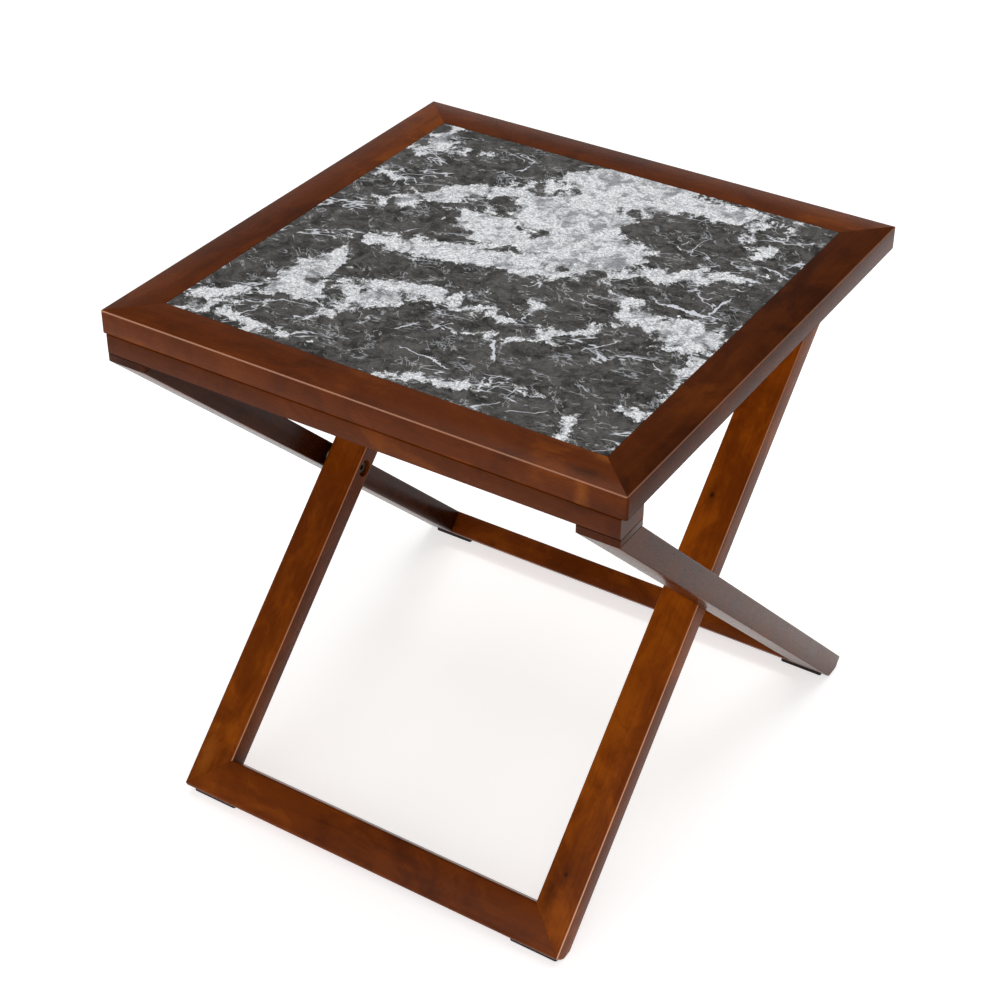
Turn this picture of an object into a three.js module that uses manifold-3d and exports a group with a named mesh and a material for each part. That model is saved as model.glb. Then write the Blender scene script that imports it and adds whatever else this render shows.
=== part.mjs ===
// Folding tray table: a marble-topped wooden tray on two crossed leg frames.
// Millimetres. +X runs along the front edge, +Y to the back, +Z up.
// The origin is on the floor under the middle of the table's box.
import * as THREE from "three";
import Module from "manifold-3d";

const wasm = await Module();
wasm.setup();

// ---- driving dimensions -------------------------------------------------
const HEIGHT = 516; // floor to tray top
const TRAY = 500; // side of the square tray
const TRAY_THICK = 21.5;
const TRAY_R = 3; // rounding of the tray's corners
const BORDER = 38.5; // visible width of the wooden border
const LEDGE = 10; // hidden ledge that carries the panel
const LEDGE_THICK = 5;
const SLAB_THICK = 10;
const PANEL_THICK = 6;

const LEG_ANGLE = 44.2; // degrees, leg frame against the floor
const PIVOT_Z = 242;
const BAR_W = 38; // width of every leg and rail
const BAR_T = 24.4; // thickness of every leg and rail
const BAR_R = 2; // softened long edges
const SEAM_R = 0.4; // nearly square edges where pieces meet
const OUTER_REACH = 346; // pivot to the foot end of an outer leg
const INNER_REACH = 342; // pivot to the foot end of an inner leg
const OUTER_HALF = 245.5; // half width of the outer frame
const INNER_HALF = 205.5; // half width of the inner frame
const PAD_T = 3;
const PAD_D = 16;
const TIP_R = 3.5; // rounding of a frame's foot corners
const HEEL_R = 10; // rounding from a leg's end to its flat on the floor

const TOP_RAIL_D = 35.5; // section of the rail under the front edge
const TOP_RAIL_H = 19;
const TOP_RAIL_HALF = OUTER_HALF;
const BLOCK_H = 7; // spacer block between outer leg and rail
const CROSS_RAIL_END = 318; // inner frame cross rail, upper edge

const CLEAT_HALF = 204;
const CLEAT_LIP = 8; // lip that stops the inner legs
const CLEAT_LIP_DROP = 9.5;

const GLUE = 0.1; // gap left at glued faces
const FREE = 0.3; // gap left at faces that part or turn
const SEG = 20;
const CENTRE_Y = -1.43;

// ---- derived ------------------------------------------------------------
const SIN = Math.sin(THREE.MathUtils.degToRad(LEG_ANGLE));
const COS = Math.cos(THREE.MathUtils.degToRad(LEG_ANGLE));
const EDGE = TRAY / 2;
const TRAY_Z = HEIGHT - TRAY_THICK;
const RAIL_TOP = TRAY_Z - FREE;
const RAIL_BOTTOM = RAIL_TOP - TOP_RAIL_H;
const BLOCK_BOTTOM = RAIL_BOTTOM - GLUE - BLOCK_H;
const FRONT = -EDGE + 0.2;
const BIG = 900;

// ---- solids -------------------------------------------------------------
function toSolid(geometry) {
  const g = geometry.index ? geometry.toNonIndexed() : geometry;
  const p = g.attributes.position;
  const lookup = new Map();
  const verts = [];
  const tris = [];
  for (let i = 0; i < p.count; i += 3) {
    const ids = [];
    for (let k = i; k < i + 3; k++) {
      const c = [p.getX(k), p.getY(k), p.getZ(k)].map((v) => Math.round(v * 1e4) / 1e4);
      const key = c.join(",");
      if (!lookup.has(key)) {
        lookup.set(key, verts.length / 3);
        verts.push(...c);
      }
      ids.push(lookup.get(key));
    }
    if (ids[0] !== ids[1] && ids[1] !== ids[2] && ids[0] !== ids[2]) tris.push(...ids);
  }
  const mesh = new wasm.Mesh({
    numProp: 3,
    vertProperties: new Float32Array(verts),
    triVerts: new Uint32Array(tris),
  });
  return new wasm.Manifold(mesh);
}

function toGeometry(solid) {
  const m = solid.getMesh();
  const g = new THREE.BufferGeometry();
  g.setAttribute("position", new THREE.BufferAttribute(new Float32Array(m.vertProperties), 3));
  g.setIndex(new THREE.BufferAttribute(new Uint32Array(m.triVerts), 1));
  const flat = g.toNonIndexed();
  flat.computeVertexNormals();
  return flat;
}

function block(x0, x1, y0, y1, z0, z1) {
  const g = new THREE.BoxGeometry(x1 - x0, y1 - y0, z1 - z0);
  g.translate((x0 + x1) / 2, (y0 + y1) / 2, (z0 + z1) / 2);
  return toSolid(g);
}

// A polygon with its corners rounded by the radius given for each corner.
function roundedShape(corners) {
  const pts = [];
  const n = corners.length;
  corners.forEach(([x, y, r], i) => {
    const here = new THREE.Vector2(x, y);
    if (!r) {
      pts.push(here);
      return;
    }
    const [px, py] = corners[(i + n - 1) % n];
    const [qx, qy] = corners[(i + 1) % n];
    const a = new THREE.Vector2(px, py).sub(here).normalize();
    const b = new THREE.Vector2(qx, qy).sub(here).normalize();
    const half = Math.acos(THREE.MathUtils.clamp(a.dot(b), -1, 1)) / 2;
    const centre = a.clone().add(b).normalize().multiplyScalar(r / Math.sin(half)).add(here);
    const from = here.clone().addScaledVector(a, r / Math.tan(half)).sub(centre);
    const to = here.clone().addScaledVector(b, r / Math.tan(half)).sub(centre);
    const start = Math.atan2(from.y, from.x);
    let sweep = Math.atan2(to.y, to.x) - start;
    if (sweep > Math.PI) sweep -= 2 * Math.PI;
    if (sweep < -Math.PI) sweep += 2 * Math.PI;
    for (let k = 0; k <= 3; k++) {
      const t = start + (sweep * k) / 3;
      pts.push(new THREE.Vector2(centre.x + r * Math.cos(t), centre.y + r * Math.sin(t)));
    }
  });
  return new THREE.Shape(pts);
}

function rectShape(x0, x1, y0, y1, r) {
  return roundedShape([[x0, y0, r], [x1, y0, r], [x1, y1, r], [x0, y1, r]]);
}

// Extrude a shape from w0 to w1 with its axes laid along u, v and u x v.
function prism(shape, u, v, w0, w1, origin = new THREE.Vector3()) {
  const g = new THREE.ExtrudeGeometry(shape, { depth: w1 - w0, bevelEnabled: false });
  g.translate(0, 0, w0);
  const w = u.clone().cross(v);
  g.applyMatrix4(new THREE.Matrix4().makeBasis(u, v, w).setPosition(origin));
  return toSolid(g);
}

// A turned piece: profile of [radius, along] pairs, laid from a point along a direction.
function turned(profile, point, direction) {
  const pts = profile.map(([r, a]) => new THREE.Vector2(r, a));
  const g = new THREE.LatheGeometry(pts, SEG);
  const up = new THREE.Vector3(0, 1, 0);
  g.applyQuaternion(new THREE.Quaternion().setFromUnitVectors(up, direction));
  g.translate(point.x, point.y, point.z);
  return toSolid(g);
}

function cylinder(r, from, direction, length) {
  return turned([[0, 0], [r, 0], [r, length], [0, length]], from, direction);
}

const X = new THREE.Vector3(1, 0, 0);
const Y = new THREE.Vector3(0, 1, 0);
const Z = new THREE.Vector3(0, 0, 1);
const PIVOT = new THREE.Vector3(0, 0, PIVOT_Z);

// A leg frame: "down" follows the legs to the foot, "out" is the normal of its plane.
// toward is +1 for the outer frame, whose feet stand at the back, and -1 for the inner.
// pad gives its foot pads' inset from the side, width and start along the flat.
function legFrame(toward, half, reach, pad) {
  const down = new THREE.Vector3(0, toward * COS, -SIN);
  const out = X.clone().cross(down);
  return { down, out, toward, half, reach, pad };
}

const OUTER = legFrame(1, OUTER_HALF, OUTER_REACH, { inset: 9, width: 45, start: -0.6 });
const INNER = legFrame(-1, INNER_HALF, INNER_REACH, { inset: 5, width: 48, start: 1.5 });

// ---- cutters ------------------------------------------------------------
// What is cut away to round the corner at k, whose edges leave it along a and b.
function cornerCutter(k, a, b, r) {
  const corner = new THREE.Vector2(...k);
  const p = new THREE.Vector2(...a).normalize();
  const q = new THREE.Vector2(...b).normalize();
  const half = Math.acos(p.dot(q)) / 2;
  const inward = p.clone().add(q).normalize();
  const centre = corner.clone().addScaledVector(inward, r / Math.sin(half));
  const from = corner.clone().addScaledVector(p, r / Math.tan(half)).sub(centre);
  const to = corner.clone().addScaledVector(q, r / Math.tan(half)).sub(centre);
  const start = from.angle();
  let sweep = to.angle() - start;
  if (sweep > Math.PI) sweep -= 2 * Math.PI;
  if (sweep < -Math.PI) sweep += 2 * Math.PI;
  const at = (radius, t) => new THREE.Vector2(
    centre.x + radius * Math.cos(start + sweep * t),
    centre.y + radius * Math.sin(start + sweep * t),
  );
  const pts = [at(r + 6, 0), at(r + 0.01, 0), at(r, 0.25), at(r, 0.5), at(r, 0.75)];
  pts.push(at(r + 0.01, 1), at(r + 6, 1), corner.clone().addScaledVector(inward, -8));
  return new THREE.Shape(pts);
}

// The wood taken off a frame's foot: what is below the pads, the rounded toe, heel and
// sole seen from the side, and the rounded tips seen from the front.
function footCuts(frame) {
  const { half, reach, down } = frame;
  const up = frame.out.clone().multiplyScalar(frame.toward);
  const t = BAR_T / 2;
  const floor = PAD_T + GLUE;
  const heel = (floor - PIVOT_Z + reach * SIN) / COS;
  const sole = (PIVOT_Z - floor - t * COS) / SIN;
  const flat = [sole - reach, -t - heel];
  const cuts = [
    block(-BIG, BIG, -BIG, BIG, -BIG, floor),
    prism(cornerCutter([reach, t], [-1, 0], [0, -1], TIP_R), down, up, -300, 300, PIVOT),
    prism(cornerCutter([reach, heel], [0, 1], flat, HEEL_R), down, up, -300, 300, PIVOT),
    prism(
      cornerCutter([sole, -t], [-flat[0], -flat[1]], [-1, 0], TIP_R),
      down, up, -300, 300, PIVOT,
    ),
  ];
  for (const side of [-1, 1]) {
    const tip = cornerCutter([side * half, reach], [-side, 0], [0, -1], TIP_R);
    cuts.push(prism(tip, X, down, -60, 60, PIVOT));
  }
  return cuts;
}

// Everything on one side of the 45 degree corner joint at a frame's foot.
function footMitre(frame, side, removeRail) {
  const s = Math.SQRT1_2;
  const sign = removeRail ? 1 : -1;
  const px = frame.half - BAR_W + (sign * GLUE * s) / 2;
  const ps = frame.reach - BAR_W - (sign * GLUE * s) / 2;
  const reach = 60;
  const along = [reach * s, reach * s];
  const across = [-sign * 2 * reach * s, sign * 2 * reach * s];
  const corner = (a, b) => [
    side * (px + a * along[0] + b * across[0]),
    ps + a * along[1] + b * across[1],
    0,
  ];
  const shape = roundedShape([corner(-1, 0), corner(1, 0), corner(1, 1), corner(-1, 1)]);
  return prism(shape, X, frame.down, -60, 60, PIVOT);
}

// A thin loose tongue across a mitre, and the slot it sits in when grown by slack.
function footSpline(frame, side, slack) {
  const a = 9 + slack;
  const b = 8 + slack;
  const t = 2 + slack;
  const u = X.clone().multiplyScalar(side).add(frame.down).normalize();
  const v = frame.out.clone().cross(u);
  const centre = PIVOT.clone().addScaledVector(X, side * (frame.half - BAR_W / 2))
    .addScaledVector(frame.down, frame.reach - BAR_W / 2);
  return prism(rectShape(-b, b, -a, a, 0), u, v, -t, t, centre);
}

function along(direction, amount, start = PIVOT) {
  return start.clone().addScaledVector(direction, amount);
}

// ---- leg frames ---------------------------------------------------------
function legBar(frame, side) {
  const x0 = side > 0 ? frame.half - BAR_W : -frame.half;
  const shape = rectShape(-BAR_T / 2, BAR_T / 2, x0, x0 + BAR_W, BAR_R);
  let bar = prism(shape, frame.out, X, -380, frame.reach, PIVOT)
    .subtract(footMitre(frame, side, true))
    .subtract(footSpline(frame, side, GLUE));
  for (const cut of footCuts(frame)) bar = bar.subtract(cut);
  return bar;
}

function footRail(frame) {
  const { half, reach } = frame;
  const shape = rectShape(reach - BAR_W, reach, -BAR_T / 2, BAR_T / 2, BAR_R);
  let rail = prism(shape, frame.down, frame.out, -half, half, PIVOT);
  for (const cut of footCuts(frame)) rail = rail.subtract(cut);
  for (const side of [-1, 1]) {
    rail = rail.subtract(footMitre(frame, side, false));
    rail = rail.subtract(footSpline(frame, side, GLUE));
  }
  return rail;
}

function footPad(frame, side) {
  const flatStart = (PIVOT_Z - PAD_T - (BAR_T / 2) * COS) / SIN;
  const { inset, width, start } = frame.pad;
  const y0 = flatStart * COS - (BAR_T / 2) * SIN + start;
  const x0 = side > 0 ? frame.half - inset - width : -frame.half + inset;
  const ya = frame.toward > 0 ? y0 : -y0 - PAD_D;
  return prism(rectShape(x0, x0 + width, ya, ya + PAD_D, 2), X, Y, 0, PAD_T);
}

// Outer legs stop flat under the spacer block and flush with the rail's front.
function outerLeg(side) {
  const inFace = along(X, side * (OUTER_HALF - BAR_W));
  const away = X.clone().multiplyScalar(side);
  let leg = legBar(OUTER, side)
    .subtract(block(-BIG, BIG, -BIG, BIG, BLOCK_BOTTOM - GLUE, BIG))
    .subtract(block(-BIG, BIG, -BIG, FRONT, 0, BIG))
    .subtract(cylinder(6.1, along(away, -1, inFace), away, 20));
  for (const screw of blockScrewPoints(side)) {
    leg = leg.subtract(cylinder(2.6, screw, Z.clone().negate(), 39.5));
  }
  return leg;
}

function blockScrewPoints(side) {
  const x = side * (OUTER_HALF - BAR_W / 2);
  return [-9, 9].map((dx) => new THREE.Vector3(x + dx, FRONT + TOP_RAIL_D / 2 + 3, RAIL_TOP));
}

function spacerBlock(side) {
  const x0 = side > 0 ? OUTER_HALF - BAR_W : -OUTER_HALF;
  const shape = rectShape(x0, x0 + BAR_W, FRONT, FRONT + TOP_RAIL_D, SEAM_R);
  let piece = prism(shape, X, Y, BLOCK_BOTTOM, BLOCK_BOTTOM + BLOCK_H);
  for (const screw of blockScrewPoints(side)) {
    piece = piece.subtract(cylinder(2.6, screw, Z.clone().negate(), 39.5));
  }
  return piece;
}

// Rail under the tray's front edge; the tray turns up about its front top edge.
function topRail() {
  const y1 = FRONT + TOP_RAIL_D;
  const shape = roundedShape([
    [FRONT, RAIL_BOTTOM, 1],
    [y1, RAIL_BOTTOM, 1],
    [y1, RAIL_TOP, SEAM_R],
    [FRONT, RAIL_TOP, SEAM_R],
  ]);
  let rail = prism(shape, Y, Z, -TOP_RAIL_HALF, TOP_RAIL_HALF);
  for (const side of [-1, 1]) {
    rail = rail.subtract(cylinder(5.1, hingePoint(side, 1), Z.clone().negate(), 14));
    for (const screw of blockScrewPoints(side)) {
      rail = rail.subtract(cylinder(2.6, screw, Z.clone().negate(), 39.5));
      rail = rail.subtract(cylinder(5, along(Z, 1, screw), Z.clone().negate(), 5));
    }
  }
  return rail;
}

function woodScrew(head, direction, length) {
  const profile = [[0, 0], [4.5, 0], [4.5, 1], [2.3, 3.2], [2.3, length - 5], [0, length]];
  return turned(profile, head, direction);
}

function railScrew(side, index) {
  const head = along(Z, -4 + GLUE, blockScrewPoints(side)[index]).addScaledVector(Z, 3);
  return woodScrew(head, Z.clone().negate(), 38);
}

function hingePoint(side, lift) {
  return new THREE.Vector3(side * 150, -EDGE + 9, RAIL_TOP + lift);
}

// Halves of a concealed barrel hinge, one let into the rail and one into the border.
function hingeLower(side) {
  return cylinder(5, hingePoint(side, -12.5), Z, 12.4);
}

function hingeUpper(side) {
  return cylinder(5, hingePoint(side, FREE + 0.1), Z, 12);
}

// Inner legs are cut level under the rear cleat and upright behind, where the lip stops them.
function innerLeg(side) {
  const inFace = along(X, side * (INNER_HALF - BAR_W));
  const away = X.clone().multiplyScalar(side);
  let leg = legBar(INNER, side)
    .subtract(block(-BIG, BIG, -BIG, BIG, RAIL_BOTTOM - FREE, BIG))
    .subtract(block(-BIG, BIG, EDGE - 1 - CLEAT_LIP - FREE, BIG, 0, BIG))
    .subtract(cylinder(4.15, along(away, -1, inFace), away, BAR_W + 2))
    .subtract(cylinder(8.6, along(away, -1, inFace), away, 9));
  for (const at of dowelPoints(side)) {
    leg = leg.subtract(cylinder(4.1, along(away, -1, at), away, 17));
  }
  return leg;
}

function dowelPoints(side) {
  const face = along(X, side * (INNER_HALF - BAR_W));
  return [-9, 9].map((ds) => along(INNER.down, -(CROSS_RAIL_END - BAR_W / 2) + ds, face));
}

function crossRail() {
  const end = INNER_HALF - BAR_W - GLUE;
  const shape = rectShape(-CROSS_RAIL_END, -CROSS_RAIL_END + BAR_W, -BAR_T / 2, BAR_T / 2, BAR_R);
  let rail = prism(shape, INNER.down, INNER.out, -end, end, PIVOT);
  for (const side of [-1, 1]) {
    const inward = X.clone().multiplyScalar(-side);
    for (const at of dowelPoints(side)) {
      rail = rail.subtract(cylinder(4.1, along(inward, -1, at), inward, 17));
    }
  }
  return rail;
}

function dowel(side, index) {
  const away = X.clone().multiplyScalar(side);
  const start = along(away, -15, dowelPoints(side)[index]);
  const p = [[0, 0], [3.2, 0], [4, 1], [4, 29], [3.2, 30], [0, 30]];
  return turned(p, start, away);
}

// ---- pivot hardware, seen from the inside of the inner leg ----------------
function pivotAt(side, x) {
  return along(X, side * x);
}

function pivotBolt(side) {
  const away = X.clone().multiplyScalar(side);
  const head = INNER_HALF - BAR_W + 3.5;
  const body = turned(
    [[0, 0], [6, 0], [7, 1], [7, 3], [4, 3], [4, 52], [3.4, 53], [0, 53]],
    pivotAt(side, head),
    away,
  );
  const hex = new THREE.CylinderGeometry(2.9, 2.9, 6, 6);
  hex.rotateZ(Math.PI / 2);
  hex.translate(side * head, 0, PIVOT_Z);
  return body.subtract(toSolid(hex));
}

function ring(inner, outer, length, side, x) {
  const away = X.clone().multiplyScalar(side);
  const profile = [[inner, 0], [outer, 0], [outer, length], [inner, length], [inner, 0]];
  return turned(profile, pivotAt(side, x), away);
}

function boltWasher(side) {
  return ring(4.2, 8.2, 1.2, side, INNER_HALF - BAR_W + 6.6);
}

function spacerWasher(side) {
  return ring(4.2, 9, OUTER_HALF - BAR_W - INNER_HALF - 0.4, side, INNER_HALF + 0.2);
}

function threadedInsert(side) {
  return ring(4.05, 6, 18, side, OUTER_HALF - BAR_W + 0.3);
}

// ---- tray -----------------------------------------------------------------
// Border strip along the front, with the ledge inside; the others are quarter turns of it.
function trayBorder(quarter) {
  const ledgeTop = TRAY_Z + LEDGE_THICK;
  const shape = roundedShape([
    [-EDGE, TRAY_Z, SEAM_R],
    [-EDGE + BORDER + LEDGE, TRAY_Z, 0.8],
    [-EDGE + BORDER + LEDGE, ledgeTop, 0],
    [-EDGE + BORDER, ledgeTop, 0],
    [-EDGE + BORDER, HEIGHT, 0.5],
    [-EDGE, HEIGHT, 2],
  ]);
  let strip = prism(shape, Y, Z, -EDGE, EDGE);
  for (const side of [-1, 1]) {
    const g = GLUE / 2;
    const corner = new THREE.Shape([
      new THREE.Vector2(side * (EDGE + 50 - g), -EDGE - 50),
      new THREE.Vector2(side * (EDGE + 50 - g) + side * 300, -EDGE - 50),
      new THREE.Vector2(side * (EDGE + 50 - g) + side * 300, -EDGE + 150),
      new THREE.Vector2(side * (EDGE - 150 - g), -EDGE + 150),
    ]);
    strip = strip.subtract(prism(corner, X, Y, TRAY_Z - 20, HEIGHT + 20));
    const outside = cornerCutter([side * EDGE, -EDGE], [-side, 0], [0, 1], TRAY_R);
    strip = strip.subtract(prism(outside, X, Y, TRAY_Z - 5, HEIGHT + 5));
    strip = strip.subtract(traySpline(side, GLUE));
    if (quarter === 0) {
      strip = strip.subtract(cylinder(5.1, hingePoint(side, -1), Z, 14.5));
    }
  }
  if (quarter === 2) {
    for (const at of cleatScrewPoints()) {
      const turnedAt = new THREE.Vector3(-at.x, -at.y, TRAY_Z - 1);
      strip = strip.subtract(cylinder(2.4, turnedAt, Z, 14));
    }
  }
  return strip.rotate([0, 0, 90 * quarter]);
}

function traySpline(side, slack) {
  const a = 12 + slack;
  const b = 9 + slack;
  const t = 2 + slack;
  const u = new THREE.Vector3(side, 1, 0).normalize();
  const v = Z.clone().cross(u);
  const mid = EDGE - BORDER / 2;
  const centre = new THREE.Vector3(side * mid, -mid, TRAY_Z + 9);
  return prism(rectShape(-a, a, -b, b, 0), u, v, -t, t, centre);
}

function cornerSpline(quarter) {
  return traySpline(1, 0).rotate([0, 0, 90 * quarter]);
}

function marbleSlab() {
  const h = EDGE - BORDER - FREE;
  const z1 = HEIGHT - 0.2;
  return prism(rectShape(-h, h, -h, h, 0.8), X, Y, z1 - SLAB_THICK, z1);
}

function backingPanel() {
  const h = EDGE - BORDER - FREE;
  const z0 = TRAY_Z + LEDGE_THICK + 0.15;
  return block(-h, h, -h, h, z0, z0 + PANEL_THICK);
}

// Cleat under the tray's back edge; it rests on the inner legs and its lip hangs behind them.
function rearCleat() {
  const y1 = EDGE - 1;
  const low = RAIL_BOTTOM - CLEAT_LIP_DROP;
  const shape = roundedShape([
    [y1 - TOP_RAIL_D, RAIL_BOTTOM, 1.2],
    [y1 - CLEAT_LIP, RAIL_BOTTOM, 0],
    [y1 - CLEAT_LIP, low, 1],
    [y1, low, 1],
    [y1, TRAY_Z - GLUE, 1.2],
    [y1 - TOP_RAIL_D, TRAY_Z - GLUE, 1.2],
  ]);
  let cleat = prism(shape, Y, Z, -CLEAT_HALF, CLEAT_HALF);
  for (const at of cleatScrewPoints()) {
    cleat = cleat.subtract(cylinder(2.6, along(Z, -1, at), Z, 30));
    cleat = cleat.subtract(cylinder(5, along(Z, -1, at), Z, 5));
  }
  return cleat;
}

function cleatScrewPoints() {
  const y = EDGE - 1 - CLEAT_LIP - 14;
  return [-150, -50, 50, 150].map((x) => new THREE.Vector3(x, y, RAIL_BOTTOM));
}

function cleatScrew(index) {
  return woodScrew(along(Z, 1, cleatScrewPoints()[index]), Z, 30);
}

// ---- materials --------------------------------------------------------------
function satin(color, roughness, metalness = 0) {
  return new THREE.MeshStandardMaterial({ color, roughness, metalness });
}

const walnutStain = () => satin(0x5a2c17, 0.35);
const marble = () => satin(0x6b6c6e, 0.25);
const plywood = () => satin(0xa9845a, 0.7);
const beech = () => satin(0xcaa373, 0.7);
const steel = () => satin(0x8c8f94, 0.35, 1);
const zinc = () => satin(0xb9b7a8, 0.4, 1);
const nylon = () => satin(0xdedbd2, 0.5);
const felt = () => satin(0x1d1a18, 0.9);

// ---- assembly -----------------------------------------------------------------
const table = new THREE.Group();
table.name = "folding_tray_table";

function add(name, solid, material) {
  const mesh = new THREE.Mesh(toGeometry(solid.translate([0, CENTRE_Y, 0])), material);
  mesh.name = name;
  table.add(mesh);
}

function addOuterFrame() {
  add("outer_foot_rail", footRail(OUTER), walnutStain());
  add("outer_top_rail", topRail(), walnutStain());
  for (const [side, label] of [[-1, "left"], [1, "right"]]) {
    add(`outer_leg_${label}`, outerLeg(side), walnutStain());
    add(`outer_block_${label}`, spacerBlock(side), walnutStain());
    add(`outer_spline_${label}`, footSpline(OUTER, side, 0), beech());
    add(`outer_pad_${label}`, footPad(OUTER, side), felt());
    add(`pivot_insert_${label}`, threadedInsert(side), zinc());
    add(`pivot_bolt_${label}`, pivotBolt(side), steel());
    add(`pivot_washer_${label}`, boltWasher(side), steel());
    add(`pivot_spacer_${label}`, spacerWasher(side), nylon());
    add(`hinge_lower_${label}`, hingeLower(side), zinc());
    add(`rail_screw_${label}_1`, railScrew(side, 0), zinc());
    add(`rail_screw_${label}_2`, railScrew(side, 1), zinc());
  }
}

function addInnerFrame() {
  add("inner_foot_rail", footRail(INNER), walnutStain());
  add("inner_cross_rail", crossRail(), walnutStain());
  for (const [side, label] of [[-1, "left"], [1, "right"]]) {
    add(`inner_leg_${label}`, innerLeg(side), walnutStain());
    add(`inner_spline_${label}`, footSpline(INNER, side, 0), beech());
    add(`inner_pad_${label}`, footPad(INNER, side), felt());
    add(`inner_dowel_${label}_1`, dowel(side, 0), beech());
    add(`inner_dowel_${label}_2`, dowel(side, 1), beech());
  }
}

function addTray() {
  ["front", "right", "back", "left"].forEach((label, quarter) => {
    add(`tray_border_${label}`, trayBorder(quarter), walnutStain());
  });
  ["front_right", "back_right", "back_left", "front_left"].forEach((label, quarter) => {
    add(`tray_spline_${label}`, cornerSpline(quarter), beech());
  });
  add("marble_slab", marbleSlab(), marble());
  add("backing_panel", backingPanel(), plywood());
  add("rear_cleat", rearCleat(), walnutStain());
  for (let i = 0; i < 4; i++) add(`cleat_screw_${i + 1}`, cleatScrew(i), zinc());
  add("hinge_upper_left", hingeUpper(-1), zinc());
  add("hinge_upper_right", hingeUpper(1), zinc());
}

addOuterFrame();
addInnerFrame();
addTray();

export default table;
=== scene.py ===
"""Looks of the folding tray table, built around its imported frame. Metres, +Z up."""
import math

import bpy
from mathutils import Matrix, Vector


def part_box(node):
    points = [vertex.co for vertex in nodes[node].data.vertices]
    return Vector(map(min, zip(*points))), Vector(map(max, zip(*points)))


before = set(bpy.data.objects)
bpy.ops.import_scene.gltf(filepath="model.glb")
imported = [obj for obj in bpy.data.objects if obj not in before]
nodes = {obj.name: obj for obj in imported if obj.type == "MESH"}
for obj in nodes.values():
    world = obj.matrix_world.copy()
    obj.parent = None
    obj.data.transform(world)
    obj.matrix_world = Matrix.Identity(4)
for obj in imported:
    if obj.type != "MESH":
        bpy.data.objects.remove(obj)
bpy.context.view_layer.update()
X, Y = Vector((1, 0, 0)), Vector((0, 1, 0))
MM = 0.001


# ---- camera ---------------------------------------------------------------
HEADING, PITCH, ROLL = 30.879, 32.269, -0.931  # degrees: left of +Y, down, and tilt
CAMERA_AT = (0.801117, -1.320599, 1.366548)
SENSOR = 36  # mm
LENS = 73.26504  # mm
CROP = (-0.024686, -0.112254)  # how far the view is shifted, in widths of the frame


def photo_camera():
    """The view of the photograph: where it stands, where it looks, and its crop."""
    heading, pitch, roll = (math.radians(a) for a in (HEADING, PITCH, ROLL))
    ahead = Vector((-math.sin(heading) * math.cos(pitch),
                    math.cos(heading) * math.cos(pitch), -math.sin(pitch)))
    level = Vector((math.cos(heading), math.sin(heading), 0))
    below = ahead.cross(level)
    right = level * math.cos(roll) + below * math.sin(roll)
    down = below * math.cos(roll) - level * math.sin(roll)
    data = bpy.data.cameras.new("photo_camera")
    data.sensor_width = SENSOR
    data.lens = LENS
    data.shift_x, data.shift_y = CROP
    data.clip_end = 50
    camera = bpy.data.objects.new("photo_camera", data)
    bpy.context.scene.collection.objects.link(camera)
    pose = Matrix((right, -down, -ahead)).transposed().to_4x4()
    pose.translation = CAMERA_AT
    camera.matrix_world = pose
    bpy.context.scene.camera = camera


# ---- node trees -------------------------------------------------------------
class Tree:
    """A short way to write a shader node tree."""

    def __init__(self, tree):
        self.tree = tree

    def put(self, socket, value):
        if isinstance(value, bpy.types.NodeSocket):
            self.tree.links.new(value, socket)
        elif value is not None:
            socket.default_value = value

    def node(self, kind, props=None, **inputs):
        made = self.tree.nodes.new(kind)
        for key, value in (props or {}).items():
            setattr(made, key, value)
        for key, value in inputs.items():
            self.put(made.inputs[key.replace("_", " ")], value)
        return made

    def math(self, operation, *values):
        made = self.tree.nodes.new("ShaderNodeMath")
        made.operation = operation
        for socket, value in zip(made.inputs, values):
            self.put(socket, value)
        return made.outputs[0]

    def vector(self, operation, *values, out=0):
        made = self.tree.nodes.new("ShaderNodeVectorMath")
        made.operation = operation
        for socket, value in zip(made.inputs, values):
            self.put(socket, value)
        return made.outputs[out]

    def noise(self, vector, scale, detail=3.0, rough=0.5, distortion=0.0):
        made = self.node("ShaderNodeTexNoise", Vector=vector, Scale=scale,
                         Detail=detail, Roughness=rough, Distortion=distortion)
        return made.outputs["Fac"]

    def scaled(self, vector, x, y, z):
        return self.vector("MULTIPLY", vector, (x, y, z))

    def times(self, vector, factor):
        made = self.vector("SCALE", vector)
        self.put(made.node.inputs["Scale"], factor)
        return made

    def swing(self, noise, size, base):
        """The base with a noise round 0.5 added, its full swing being size."""
        centred = self.math("SUBTRACT", noise, 0.5)
        return self.math("MULTIPLY_ADD", centred, size, base)

    def ramp(self, value, low, high, to_low=0.0, to_high=1.0, smooth=True):
        made = self.tree.nodes.new("ShaderNodeMapRange")
        made.interpolation_type = "SMOOTHSTEP" if smooth else "LINEAR"
        for socket, v in zip(made.inputs, (value, low, high, to_low, to_high)):
            self.put(socket, v)
        return made.outputs["Result"]

    def mix(self, share, a, b):
        made = self.tree.nodes.new("ShaderNodeMix")
        made.data_type = "RGBA"
        made.clamp_factor = True
        self.put(made.inputs["Factor"], share)
        for key, value in (("A", a), ("B", b)):
            socket = [s for s in made.inputs if s.name == key and s.type == "RGBA"][0]
            self.put(socket, value)
        return [s for s in made.outputs if s.type == "RGBA"][0]

    def bump(self, height, strength, distance):
        made = self.node("ShaderNodeBump", Strength=strength, Distance=distance,
                         Height=height)
        return made.outputs["Normal"]


def rgb(red, green, blue):
    """A colour given as 0-255 display values, as linear light."""
    linear = []
    for c in (red / 255, green / 255, blue / 255):
        linear.append(c / 12.92 if c <= 0.04045 else ((c + 0.055) / 1.055) ** 2.4)
    return (*linear, 1)


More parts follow.
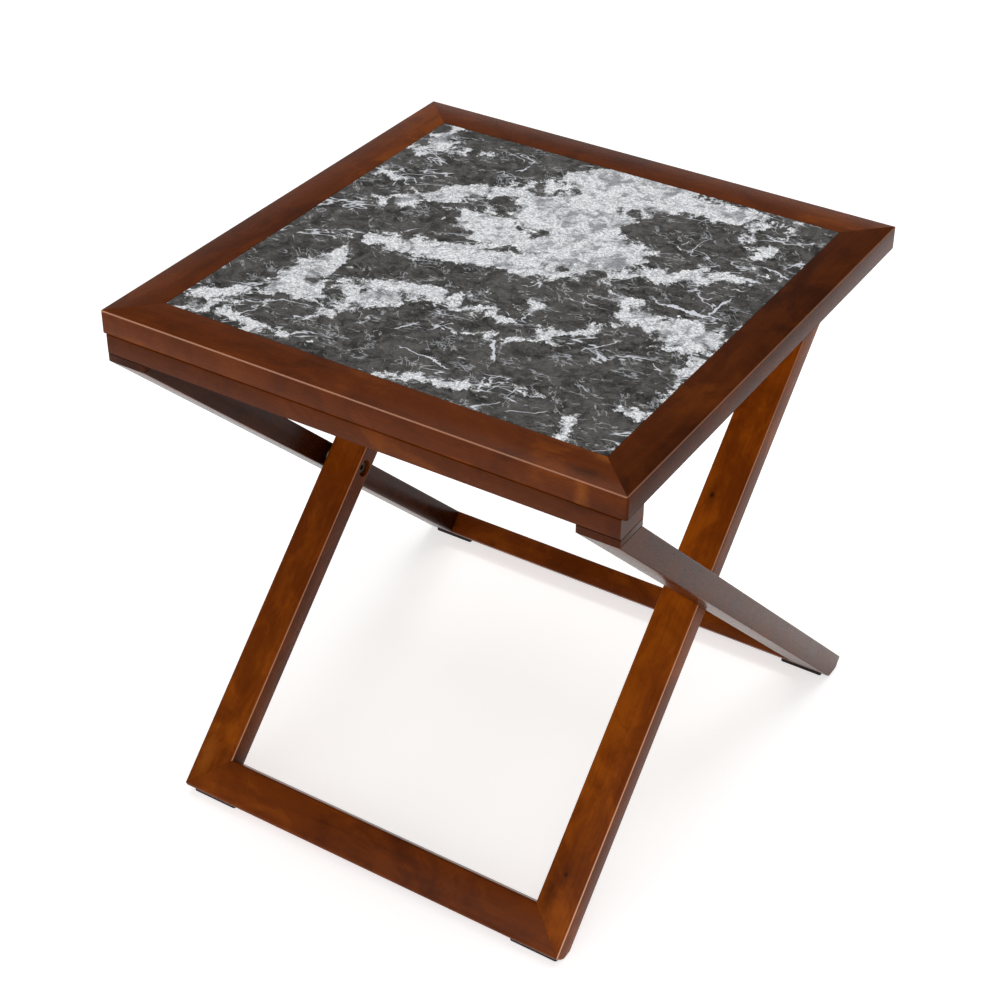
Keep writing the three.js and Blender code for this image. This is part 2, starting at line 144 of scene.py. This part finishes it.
def material(name):
    """A new material: its tree, its shader and the place of each point at rest."""
    made = bpy.data.materials.new(name)
    made.use_nodes = True
    tree = Tree(made.node_tree)
    shader = made.node_tree.nodes["Principled BSDF"]
    place = tree.node("ShaderNodeTexCoord").outputs["Object"]
    return made, tree, shader, place


# ---- stained wood -------------------------------------------------------------
STAIN_DARK = (0.045, 0.0085, 0.0010, 1)
STAIN_MID = (0.105, 0.0205, 0.0013, 1)
STAIN_AMBER = (0.21, 0.047, 0.0020, 1)
# colour painted onto edges as highlight lines
PAINTED_HIGHLIGHT_COLOUR = (0.90, 0.48, 0.32, 1)
AMBER_PATCH = (0.30, 0.085, 0.010, 1)
KNOT_BROWN = (0.020, 0.0040, 0.0010, 1)
RING_STEP = 3.1 * MM  # from one growth ring to the next
PITH_ASIDE, PITH_AWAY = 12 * MM, 55 * MM  # where the rings have their middle
RING_BEND = 21 * MM
EDGE_FROM, EDGE_TO = 0.3 * MM, 1.4 * MM  # the softened edge, and where it has faded
HIGHLIGHT_FROM, HIGHLIGHT_TO = 0.6 * MM, 1.5 * MM  # a painted highlight line, and where it has faded
WOOD_SHINE = 0.095
GLOSS_IOR = 1.45


def wood_group():
    """Stained and lacquered hardwood in a member's own axes: along, across, through."""
    made = bpy.data.node_groups.new("stained_hardwood", "ShaderNodeTree")
    face = made.interface
    face.new_socket("Place", in_out="INPUT", socket_type="NodeSocketVector")
    for name in ("Half Width", "Half Thickness", "Seed", "Tone", "Gain"):
        face.new_socket(name, in_out="INPUT", socket_type="NodeSocketFloat")
    face.new_socket("Color", in_out="OUTPUT", socket_type="NodeSocketColor")
    for name in ("Roughness", "Height", "Gloss"):
        face.new_socket(name, in_out="OUTPUT", socket_type="NodeSocketFloat")
    t = Tree(made)
    given = t.node("NodeGroupInput").outputs
    p = t.vector("ADD", given["Place"], t.times((3.1, 5.7, 7.3), given["Seed"]))

    # growth rings round a pith outside the board, bent by slow noise
    bend = t.noise(t.scaled(p, 2.2, 9, 9), 1.0, 2.0, 0.5)
    part = t.node("ShaderNodeSeparateXYZ", Vector=given["Place"])
    across = t.math("ADD", part.outputs["Y"], PITH_ASIDE)
    through = t.math("SUBTRACT", part.outputs["Z"], PITH_AWAY)
    radius = t.math("SQRT", t.math("ADD", t.math("MULTIPLY", across, across),
                                   t.math("MULTIPLY", through, through)))
    radius = t.math("MULTIPLY_ADD", bend, RING_BEND, radius)
    ring = t.math("FRACT", t.math("DIVIDE", radius, RING_STEP))
    ring = t.ramp(ring, 0.35, 1.0)

    fibre = t.noise(t.scaled(p, 12, 900, 900), 1.0, 3.0, 0.6)
    streak = t.noise(t.scaled(p, 5, 90, 90), 1.0, 4.0, 0.6)
    pore = t.ramp(t.noise(t.scaled(p, 140, 2300, 2300), 1.0, 1.0), 0.60, 0.70)
    blotch = t.noise(t.scaled(p, 17, 26, 26), 1.0, 5.0, 0.6, 0.8)
    cloud = t.noise(t.scaled(p, 6, 8, 8), 1.0, 3.0, 0.5, 0.3)
    speckle = t.noise(t.scaled(p, 160, 420, 420), 1.0, 4.0, 0.65)

    tone = t.math("ADD", t.ramp(blotch, 0.28, 0.74, -0.45, 0.45), given["Tone"])
    tone = t.math("ADD", tone, t.ramp(cloud, 0.3, 0.7, -0.35, 0.35))
    tone = t.swing(streak, 0.5, tone)
    tone = t.swing(speckle, 0.5, tone)
    colour = t.mix(t.ramp(tone, -1.0, 0.1), STAIN_DARK, STAIN_MID)
    colour = t.mix(t.ramp(tone, 0.0, 1.1), colour, STAIN_AMBER)
    grain = t.math("MULTIPLY_ADD", ring, -0.10, 1.03)
    grain = t.swing(fibre, 0.45, grain)
    grain = t.math("MULTIPLY_ADD", pore, -0.25, grain)

    # the softened edges are darker, partly a deeper stain and partly painted shade along
    # the outlines, and they do not shine
    near_y = t.math("SUBTRACT", given["Half Width"],
                    t.math("ABSOLUTE", part.outputs["Y"]))
    near_z = t.math("SUBTRACT", given["Half Thickness"],
                    t.math("ABSOLUTE", part.outputs["Z"]))
    edge = t.ramp(t.math("MAXIMUM", near_y, near_z), EDGE_FROM, EDGE_TO, 1.0, 0.0)
    grain = t.math("MULTIPLY_ADD", edge, -0.10, grain)
    colour = t.times(colour, t.math("MULTIPLY", grain, given["Gain"]))

    rough = t.swing(blotch, 0.16, 0.27)
    rough = t.math("MULTIPLY_ADD", pore, 0.12, rough)
    height = t.math("MULTIPLY_ADD", pore, -0.6, t.math("MULTIPLY", fibre, 0.5))
    height = t.math("MULTIPLY_ADD", ring, 0.15, height)
    t.node("NodeGroupOutput", Color=colour, Roughness=rough, Height=height,
           Gloss=t.ramp(edge, 0.0, 1.0, WOOD_SHINE, 0.0))
    return made


WOOD = wood_group()


def extent(node, axis):
    """How far a CAD node reaches along a direction."""
    reach = [v.co.dot(axis) for v in nodes[node].data.vertices]
    return min(reach), max(reach)


def stained(node, along, across, seed, tone=0.0, gain=1.0, lines=(), marks=(),
            side=1.0, polish=1.0):
    """Wood for one member, its grain running along the member.

    lines: highlight lines painted onto edges as colour, each the side across, the side
    through and the strength at the near and at the far end of the grain.
    marks: knots and patches, each its place along and across from the member's middle,
    its half length and half width, all four in mm, its colour and its strength.
    side: how light the two side faces are beside the wide ones. polish: how much of the
    usual shine the member has."""
    made, t, shader, place = material("wood_" + node)
    through = along.cross(across)
    spans = [extent(node, axis) for axis in (along, across, through)]
    half = [(high - low) / 2 for low, high in spans]
    axes = Matrix((along, across, through)).transposed()
    middle = axes @ Vector([(high + low) / 2 for low, high in spans])
    local = t.node("ShaderNodeMapping", {"vector_type": "TEXTURE"}, Vector=place,
                   Location=middle, Rotation=axes.to_euler(), Scale=(1, 1, 1))
    local = local.outputs[0]
    group = t.node("ShaderNodeGroup", {"node_tree": WOOD}, Place=local,
                   Half_Width=half[1], Half_Thickness=half[2], Seed=seed, Tone=tone,
                   Gain=gain)
    normal = t.node("ShaderNodeTexCoord").outputs["Normal"]
    facing = t.math("ABSOLUTE", t.vector("DOT_PRODUCT", normal, across, out=1))
    # painted shade and painted reflected light: the side faces take the member's side
    # factor on their colour
    colour = t.times(group.outputs["Color"], t.ramp(facing, 0.6, 0.95, 1.0, side))
    part = t.node("ShaderNodeSeparateXYZ", Vector=local)
    for x, y, length, width, paint, strength in marks:
        away = t.vector("SUBTRACT", local, (x * MM, y * MM, 0))
        away = t.scaled(away, 1 / (length * MM), 1 / (width * MM), 0)
        ripple = t.math("MULTIPLY", t.noise(local, 150.0, 4.0, 0.6), 0.9)
        away = t.math("ADD", t.vector("LENGTH", away, out=1), ripple)
        colour = t.mix(t.ramp(away, 0.5, 1.6, strength, 0.0), colour, paint)
    # painted highlights: lines of pale colour painted along edges that face the lamps
    for side_across, side_through, near, far in lines:
        beside = t.math("SUBTRACT", half[1], t.math("MULTIPLY", part.outputs["Y"],
                                                    side_across))
        below = t.math("SUBTRACT", half[2], t.math("MULTIPLY", part.outputs["Z"],
                                                   side_through))
        line = t.ramp(t.math("MAXIMUM", beside, below), HIGHLIGHT_FROM, HIGHLIGHT_TO, 1.0, 0.0)
        share = t.ramp(part.outputs["X"], -half[0], half[0], near, far, smooth=False)
        colour = t.mix(t.math("MULTIPLY", line, share), colour, PAINTED_HIGHLIGHT_COLOUR)
    t.put(shader.inputs["Base Color"], colour)
    t.put(shader.inputs["Roughness"], group.outputs["Roughness"])
    t.put(shader.inputs["Specular IOR Level"],
          t.math("MULTIPLY", group.outputs["Gloss"], polish))
    t.put(shader.inputs["Normal"], t.bump(group.outputs["Height"], 0.10, 0.0002))
    shader.inputs["IOR"].default_value = GLOSS_IOR
    return made


# ---- marble ---------------------------------------------------------------------
# Pale areas of the slab: centre x, y, half length, half width in mm from the middle
# of the top, and turn in degrees.
PALE = (
    (15, 182, 62, 40, 0), (102, 190, 50, 16, 8), (-5, 107, 56, 44, 0),
    (38, 56, 58, 36, 22), (-58, 50, 42, 24, -15), (-34, -2, 98, 16, 12),
    (118, 58, 56, 8, 28), (-115, 91, 56, 12, 41), (-151, 61, 13, 18, 0),
    (-64, 126, 28, 8, 35), (-192, 182, 10, 34, 0), (-172, 162, 20, 6, 20),
    (-146, -96, 17, 40, -10), (-138, -128, 27, 18, 20), (-181, -162, 32, 6, 45),
    (-184, -200, 24, 6, 40), (-58, -85, 50, 12, 20), (-74, -112, 30, 13, 50),
    (-88, -140, 7, 24, -8), (0, -81, 24, 4, 0), (179, -25, 32, 22, 0),
    (140, -22, 26, 13, -20), (206, -74, 6, 24, 0), (107, 0, 20, 5, -20),
    (85, -80, 28, 6, 45), (58, -102, 20, 3, 20), (50, -55, 8, 9, 0),
    (146, 171, 17, 4, -60), (171, 140, 3, 22, 0), (201, -146, 14, 5, 25),
    (165, -195, 6, 13, 0), (47, -192, 26, 3, 18), (-137, -200, 20, 3, 0),
    (-192, 91, 14, 6, 0), (-55, 151, 15, 5, 30), (160, 12, 38, 1.6, 0),
    (168, 80, 30, 2, 15), (194, 110, 16, 1.5, -12), (181, 31, 1.6, 20, 0),
    (57, -129, 20, 1.8, -62), (18, -167, 28, 1.0, 0), (-22, -132, 15, 1.2, 60),
)
THIN = 2.5  # mm; areas narrower than this are drawn as veins
DEEP = 400  # mm; every area and line runs down through the whole slab
WARP = 34  # mm; how far slow noise bends the areas
TORN, FRAYED = 50.0, 12.0  # mm; coarse and fine roughness of their outlines
MARBLE_SHINE = 0.2


def marble():
    """Dark grey marble with pale patches, brecciated inside, and thin pale veins."""
    made, t, shader, place = material("dark_marble")
    low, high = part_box("marble_slab")
    middle = (low + high) / 2
    flat = t.times(t.vector("SUBTRACT", place, tuple(middle)), 1 / MM)
    warp = t.node("ShaderNodeTexNoise", Vector=flat, Scale=0.035, Detail=6.0,
                  Roughness=0.65).outputs["Color"]
    warp = t.scaled(t.vector("SUBTRACT", warp, (0.5, 0.5, 0.5)), WARP, WARP, 0)
    bent = t.vector("ADD", flat, warp)

    def turned(vector, x, y, length, width, turn):
        """The same place seen from an area's own middle, axes and size."""
        return t.node("ShaderNodeMapping", {"vector_type": "TEXTURE"}, Vector=vector,
                      Location=(x, y, 0), Rotation=(0, 0, math.radians(turn)),
                      Scale=(length, width, DEEP)).outputs[0]

    field, seam = None, None
    for x, y, length, width, turn in PALE:
        away = t.vector("LENGTH", turned(bent, x, y, length, width, turn), out=1)
        if min(length, width) < THIN:
            line = t.ramp(away, 0.75, 1.1, 1.0, 0.0)
            seam = line if seam is None else t.math("MAXIMUM", seam, line)
        else:
            deep = t.math("MULTIPLY", t.math("SUBTRACT", 1.0, away), min(length, width))
            field = deep if field is None else t.math("MAXIMUM", field, deep)
    torn = t.noise(bent, 0.075, 6.0, 0.62)
    fine = t.noise(flat, 0.45, 6.0, 0.7)
    ragged = t.swing(fine, FRAYED, t.swing(torn, TORN, field))
    pale = t.ramp(ragged, -3.0, 1.5)

    def strokes(turn, length, width, thin, share):
        """Fine broken lines that run mostly one way."""
        own = turned(flat, turn, length, length, width, turn)
        ridge = t.math("ABSOLUTE", t.math("SUBTRACT", t.noise(own, 1.0, 2.5, 0.5), 0.5))
        here = t.ramp(t.noise(own, 0.45, 2.0), 0.58 - share, 0.62 - share)
        return t.math("MULTIPLY", t.ramp(ridge, 0.0, thin, 1.0, 0.0), here)

    # veins, hair lines, a net of dark cracks and dark scratches
    veins = t.math("MAXIMUM", strokes(24, 40, 17, 0.024, 0.0),
                   strokes(-15, 36, 15, 0.022, -0.03))
    veins = t.math("MAXIMUM", veins, strokes(68, 30, 16, 0.022, -0.04))
    hair = t.math("MAXIMUM", strokes(10, 14, 6, 0.040, 0.03),
                  strokes(-48, 13, 6, 0.040, 0.01))
    veins = t.math("MAXIMUM", veins, t.math("MULTIPLY", hair, 0.42))
    veins = t.math("MAXIMUM", veins, seam)
    cell = t.node("ShaderNodeTexVoronoi", {"feature": "DISTANCE_TO_EDGE"},
                  Vector=bent, Scale=0.13).outputs["Distance"]
    dark_hair = t.ramp(cell, 0.0, 0.045, 1.0, 0.0)
    scratch = t.math("MAXIMUM", strokes(35, 14, 3, 0.03, 0.12),
                     strokes(-25, 12, 4, 0.03, 0.10))

    # the dark ground, the pale stone and then both together
    mottle = t.noise(bent, 0.12, 7.0, 0.68)
    ground = t.mix(t.ramp(mottle, 0.34, 0.66), rgb(26, 25, 23), rgb(94, 92, 89))
    ground = t.mix(t.ramp(t.noise(bent, 0.02, 3.0), 0.45, 0.7, 0.0, 0.5), ground,
                   rgb(96, 94, 91))
    ground = t.mix(t.ramp(fine, 0.46, 0.72, 0.0, 0.50), ground, rgb(104, 103, 102))
    stone = t.mix(t.ramp(fine, 0.30, 0.62), rgb(172, 176, 186), rgb(253, 254, 255))
    stone = t.mix(t.ramp(torn, 0.38, 0.54, 0.80, 0.0), stone, rgb(122, 123, 128))
    stone = t.mix(t.math("MULTIPLY", dark_hair, 0.50), stone, rgb(88, 87, 88))
    stone = t.mix(t.math("MULTIPLY", scratch, 0.55), stone, rgb(92, 92, 96))
    colour = t.mix(t.math("MULTIPLY", dark_hair, 0.40), ground, rgb(26, 25, 24))
    colour = t.mix(t.math("MULTIPLY", scratch, 0.60), colour, rgb(28, 27, 26))
    colour = t.mix(t.math("MULTIPLY", veins, 0.90), colour, rgb(222, 225, 232))
    colour = t.mix(pale, colour, stone)
    t.put(shader.inputs["Base Color"], colour)
    t.put(shader.inputs["Roughness"], t.math("MULTIPLY_ADD", fine, 0.14, 0.26))
    t.put(shader.inputs["Normal"], t.bump(t.math("ADD", fine, dark_hair), 0.05, 0.0002))
    shader.inputs["IOR"].default_value = GLOSS_IOR
    shader.inputs["Specular IOR Level"].default_value = MARBLE_SHINE
    return made


# ---- small parts ------------------------------------------------------------------
def bare_wood(name, light, shade):
    """Unstained wood or plywood, its grain along X."""
    made, t, shader, place = material(name)
    long = t.noise(t.scaled(place, 9, 220, 220), 1.0, 5.0, 0.6, 0.4)
    fibre = t.noise(t.scaled(place, 60, 2600, 2600), 1.0, 3.0, 0.6)
    figure = t.math("MULTIPLY_ADD", fibre, 0.5, t.math("MULTIPLY", long, 0.6))
    t.put(shader.inputs["Base Color"], t.mix(t.ramp(figure, 0.3, 0.8), shade, light))
    t.put(shader.inputs["Roughness"], t.math("MULTIPLY_ADD", fibre, 0.2, 0.55))
    t.put(shader.inputs["Normal"], t.bump(figure, 0.3, 0.0004))
    return made


def metal(name, colour, rough, scale):
    """Plated or brushed metal with a cloudy finish and fine scratches."""
    made, t, shader, place = material(name)
    cloud = t.noise(place, 160.0, 4.0, 0.6)
    scratch = t.noise(t.scaled(place, *scale), 1.0, 3.0, 0.6)
    dull = (*(0.55 * c for c in colour[:3]), 1)
    worn = t.mix(t.ramp(cloud, 0.35, 0.7), colour, dull)
    t.put(shader.inputs["Base Color"], worn)
    shader.inputs["Metallic"].default_value = 1
    t.put(shader.inputs["Roughness"], t.math("MULTIPLY_ADD", cloud, 0.2, rough))
    t.put(shader.inputs["Normal"], t.bump(scratch, 0.2, 0.0001))
    return made


def soft(name, light, shade, scale, rough, depth):
    """Felt or nylon: a fine even texture."""
    made, t, shader, place = material(name)
    speck = t.noise(place, scale, 4.0, 0.7)
    cloud = t.noise(place, scale / 12, 3.0, 0.5)
    both = t.math("MULTIPLY_ADD", cloud, 0.5, t.math("MULTIPLY", speck, 0.5))
    t.put(shader.inputs["Base Color"], t.mix(t.ramp(both, 0.35, 0.65), shade, light))
    t.put(shader.inputs["Roughness"], t.math("MULTIPLY_ADD", speck, 0.2, rough))
    t.put(shader.inputs["Normal"], t.bump(speck, 0.5, depth))
    return made


def dress(node, made):
    """Gives a CAD node its material."""
    mesh = nodes[node].data
    mesh.materials.clear()
    mesh.materials.append(made)


ANGLE = math.radians(44.2)  # legs to floor
OUTER_DOWN = Vector((0, math.cos(ANGLE), -math.sin(ANGLE)))
INNER_DOWN = Vector((0, -math.cos(ANGLE), -math.sin(ANGLE)))

# Every wooden piece: which way its grain and its width run, then the seed, tone and
# depth of its stain.
TIMBER = {
    "outer_leg_left": (OUTER_DOWN, X, 11.0, -0.4, 0.60),
    "outer_leg_right": (OUTER_DOWN, X, 14.7, -0.1, 0.62),
    "outer_foot_rail": (X, OUTER_DOWN, 20.1, 0.2, 1.05),
    "outer_top_rail": (X, Y, 43.0, 0.0, 0.82),
    "outer_block_left": (Y, X, 51.0, -0.3, 0.70),
    "outer_block_right": (Y, X, 52.0, -0.1, 0.62),
    "inner_leg_left": (INNER_DOWN, X, 23.0, 0.5, 1.35),
    "inner_leg_right": (INNER_DOWN, X, 26.7, 0.5, 1.50),
    "inner_foot_rail": (X, INNER_DOWN, 32.1, 0.05, 1.45),
    "inner_cross_rail": (X, INNER_DOWN, 41.0, 0.0, 0.80),
    "tray_border_front": (X, Y, 61.0, 0.0, 0.98),
    "tray_border_back": (X, Y, 62.0, 0.0, 0.98),
    "tray_border_left": (Y, X, 71.0, 0.15, 0.95),
    "tray_border_right": (Y, X, 72.0, -0.2, 0.68),
    "rear_cleat": (X, Y, 47.0, 0.0, 0.80),
}

# Highlight lines painted onto edges as colour, and knots and patches in the wood.
PAINTED_EDGE_HIGHLIGHTS = {
    "tray_border_front": ((-1, 1, 0.50, 0.35),),
    "tray_border_right": ((1, -1, 0.22, 0.22),),
    "inner_leg_right": ((1, 1, 0.25, 1.0),),
    "inner_leg_left": ((1, 1, 0.10, 0.55),),
}
MARKS = {
    "inner_leg_right": ((-88.7, -7.9, 20, 7, STAIN_DARK, 0.55),
                        (-88.7, -7.9, 3.6, 2.6, KNOT_BROWN, 0.95),
                        (269.6, -2.3, 16, 6, STAIN_DARK, 0.55),
                        (269.6, -2.3, 3.2, 2.6, KNOT_BROWN, 0.85),
                        (290, -10, 24, 8, STAIN_DARK, 0.60)),
    "inner_leg_left": ((305, -9, 26, 9, AMBER_PATCH, 0.55),
                       (277.7, -10, 5, 2, AMBER_PATCH, 0.60)),
    "tray_border_front": ((211, -26.5, 9, 4.5, AMBER_PATCH, 0.55),
                          (213, 14, 18, 9, AMBER_PATCH, 0.60),
                          (208, -12, 20, 9, KNOT_BROWN, 0.55)),
}

# Members whose side faces are painted darker as shade or lighter as reflected light, or
# which have less shine: side, polish.
SIDE_SHADE_AND_POLISH = {
    "outer_leg_left": (0.55, 1.0),
    "inner_leg_left": (0.55, 0.75),
    "inner_leg_right": (0.75, 0.60),
    "tray_border_right": (1.15, 0.55),
    "outer_leg_right": (1.10, 0.85),
}


def dress_wood():
    """Stains every wooden piece."""
    for node, (along, across, seed, tone, gain) in TIMBER.items():
        side, polish = SIDE_SHADE_AND_POLISH.get(node, (1.0, 1.0))
        dress(node, stained(node, along, across, seed, tone, gain, PAINTED_EDGE_HIGHLIGHTS.get(node, ()),
                            MARKS.get(node, ()), side, polish))


def dress_rest():
    """Marble, panel, joinery, pads and hardware."""
    dress("marble_slab", marble())
    dress("backing_panel", bare_wood("plywood", rgb(205, 170, 120), rgb(168, 128, 82)))
    beech = bare_wood("beech", rgb(206, 160, 112), rgb(160, 112, 70))
    steel = metal("steel", rgb(74, 70, 66), 0.38, (900, 60, 900))
    zinc = metal("zinc", rgb(190, 188, 172), 0.34, (300, 300, 300))
    nylon = soft("nylon", rgb(222, 219, 210), rgb(196, 192, 180), 900.0, 0.42, 0.0001)
    felt = soft("felt", rgb(40, 32, 28), rgb(16, 13, 12), 2200.0, 0.75, 0.0004)
    kinds = (("spline", beech), ("dowel", beech), ("pad", felt), ("bolt", steel),
             ("washer", steel), ("spacer", nylon), ("screw", zinc), ("insert", zinc),
             ("hinge", zinc))
    for name in nodes:
        for word, made in kinds:
            if word in name:
                dress(name, made)


WELD, SOFTEN = 0.02 * MM, 0.4 * MM
SHARP = math.radians(40)  # corners sharper than this are softened


def smooth_nodes():
    """Rounded edges shade as round and flat faces stay flat."""
    for node in nodes.values():
        mesh = node.data
        if "custom_normal" in mesh.attributes:
            mesh.attributes.remove(mesh.attributes["custom_normal"])
        weld = node.modifiers.new("weld", "WELD")
        weld.merge_threshold = WELD
        mesh.shade_smooth()
        bevel = node.modifiers.new("bevel", "BEVEL")
        bevel.width = SOFTEN
        bevel.segments = 2
        bevel.limit_method = "ANGLE"
        bevel.angle_limit = SHARP
        bevel.harden_normals = True


# ---- surroundings -----------------------------------------------------------------
FLOOR_HALF = 9
FLOOR_DARK, FLOOR_LIGHT, FLOOR_GLOW = 0.78, 0.80, 0.64
HORIZON, SKY, SKY_FROM = 0.9, 0.26, 0.30  # light of the surroundings, low and high

# Soft lamps: place, aim, width, depth and power.
LAMPS = {
    "overhead": ((0.0, 0.35, 2.4), (0, 0.35, 0), 2.2, 1.5, 28),
    "front": ((-0.05, -1.75, 0.87), (-0.05, 0, 0.87), 1.4, 0.95, 8),
    "high_right": ((1.1, -1.4, 2.3), (0, 0, 0.3), 0.7, 0.7, 5),
}


def grey(level):
    return (level, level, level, 1)


def plain_floor():
    """A white floor that glows a little, so that its shadows stay light."""
    made, t, shader, place = material("floor_white")
    shade = t.noise(place, 0.4, 2.0)
    t.put(shader.inputs["Base Color"], t.mix(shade, grey(FLOOR_DARK), grey(FLOOR_LIGHT)))
    shader.inputs["Roughness"].default_value = 0.9
    shader.inputs["Specular IOR Level"].default_value = 0
    shader.inputs["Emission Color"].default_value = grey(1)
    shader.inputs["Emission Strength"].default_value = FLOOR_GLOW
    corners = [(x * FLOOR_HALF, y * FLOOR_HALF, 0)
               for x, y in ((-1, -1), (1, -1), (1, 1), (-1, 1))]
    mesh = bpy.data.meshes.new("floor")
    mesh.from_pydata(corners, [], [(0, 1, 2, 3)])
    mesh.materials.append(made)
    floor = bpy.data.objects.new("floor", mesh)
    bpy.context.scene.collection.objects.link(floor)


def studio_light():
    """A bright horizon under a grey sky, and the lamps."""
    world = bpy.data.worlds.new("studio")
    world.use_nodes = True
    bpy.context.scene.world = world
    t = Tree(world.node_tree)
    up = t.node("ShaderNodeSeparateXYZ",
                Vector=t.node("ShaderNodeTexCoord").outputs["Generated"]).outputs["Z"]
    back = world.node_tree.nodes["Background"]
    height = t.ramp(up, 0.0, SKY_FROM)
    t.put(back.inputs["Color"], t.mix(height, grey(HORIZON), grey(SKY)))
    for name, (place, aim, width, depth, power) in LAMPS.items():
        data = bpy.data.lights.new(name, "AREA")
        data.shape = "RECTANGLE"
        data.size, data.size_y = width, depth
        data.energy = power
        lamp = bpy.data.objects.new(name, data)
        bpy.context.scene.collection.objects.link(lamp)
        lamp.location = place
        toward = Vector(aim) - Vector(place)
        lamp.rotation_euler = toward.to_track_quat("-Z", "Y").to_euler()


photo_camera()
dress_wood()
dress_rest()
smooth_nodes()
plain_floor()
studio_light()
bpy.context.scene.view_settings.view_transform = "Standard"
